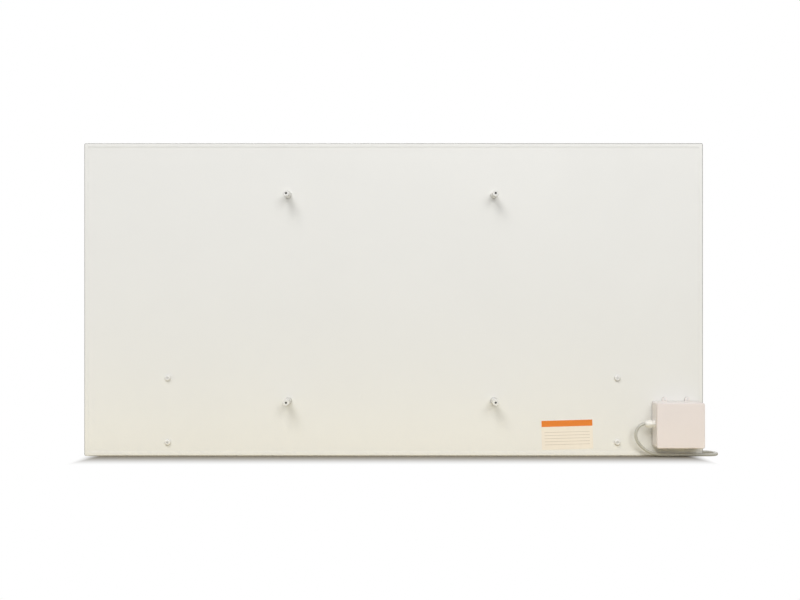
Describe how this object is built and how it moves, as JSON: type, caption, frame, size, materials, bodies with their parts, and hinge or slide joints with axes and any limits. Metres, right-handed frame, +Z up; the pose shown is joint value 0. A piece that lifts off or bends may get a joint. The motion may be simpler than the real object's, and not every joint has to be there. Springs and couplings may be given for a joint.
{
  "type": "flat infrared wall panel heater",
  "caption": "Flat metal radiant panel heater seen from its rear, with wall posts, a corner junction box, a cable gland and a tied mains lead with its plug.",
  "frame": {"origin": "on the floor under the middle of the heater without its mains lead, midway between the radiating face and the tips of the wall posts", "axes": "+X along the panel's length, towards the end without the junction box; +Z up; -Y is the radiating front and +Y the rear with the wall posts"},
  "size_m": [1.2371, 0.1217, 0.609],
  "materials": {
    "casing_paint": "satin",
    "cover_paint": "satin",
    "stiffener_steel": "satin",
    "nut_steel": "satin",
    "post_paint": "satin",
    "foot_screw_paint": "satin",
    "small_screw_steel": "satin",
    "film": "matte",
    "element": "matte",
    "copper": "satin",
    "foil": "satin",
    "fibre_board": "matte",
    "box_plastic": "satin",
    "lid_plastic": "satin",
    "gasket_rubber": "matte",
    "gland_plastic": "satin",
    "seal_rubber": "matte",
    "cord_plastic": "satin",
    "tie_plastic": "satin",
    "plug_plastic": "satin",
    "pin_plating": "satin",
    "plate_film": "matte",
    "band_print": "matte",
    "block_plastic": "satin",
    "brass": "satin",
    "steel": "satin",
    "brown_insulation": "satin",
    "blue_insulation": "satin",
    "green_insulation": "satin",
    "cutout_shell": "satin"
  },
  "bodies": {
    "root": {"front_tray": "casing_paint", "front_film": "film", "heating_element": "element", "bus_bars": "copper", "bus_lugs": "brass", "rear_film": "film", "reflector_foil": "foil", "insulation_board": "fibre_board", "stiffener_box_side": "stiffener_steel", "stiffener_plain_side": "stiffener_steel", "rear_cover": "cover_paint", "wall_post_nuts": "nut_steel", "wall_posts": "post_paint", "foot_nuts": "nut_steel", "foot_screws": "foot_screw_paint", "box_gasket": "gasket_rubber", "box_base": "box_plastic", "box_lid": "lid_plastic", "box_screws": "small_screw_steel", "gland_washer": "gland_plastic", "gland_body": "gland_plastic", "gland_locknut": "gland_plastic", "gland_seal": "seal_rubber", "gland_cap": "gland_plastic", "cord_inside": "cord_plastic", "cord_lead": "cord_plastic", "cord_hank": "cord_plastic", "cord_tie": "tie_plastic", "cord_plug_run": "cord_plastic", "plug_boot": "plug_plastic", "plug_body": "plug_plastic", "plug_pins": "pin_plating", "plug_clips": "brass", "rating_plate": "plate_film", "rating_band": "band_print", "terminal_block": "block_plastic", "terminal_clamps": "brass", "terminal_screws": "steel", "core_live": "brown_insulation", "core_neutral": "blue_insulation", "core_earth": "green_insulation", "wire_live": "brown_insulation", "wire_neutral": "blue_insulation", "wire_return": "brown_insulation", "wire_earth": "green_insulation", "thermal_cutout": "cutout_shell", "wiring_grommet": "seal_rubber", "earth_stud": "steel", "earth_lug": "brass", "earth_nut": "steel"}
  },
  "joints": []
}
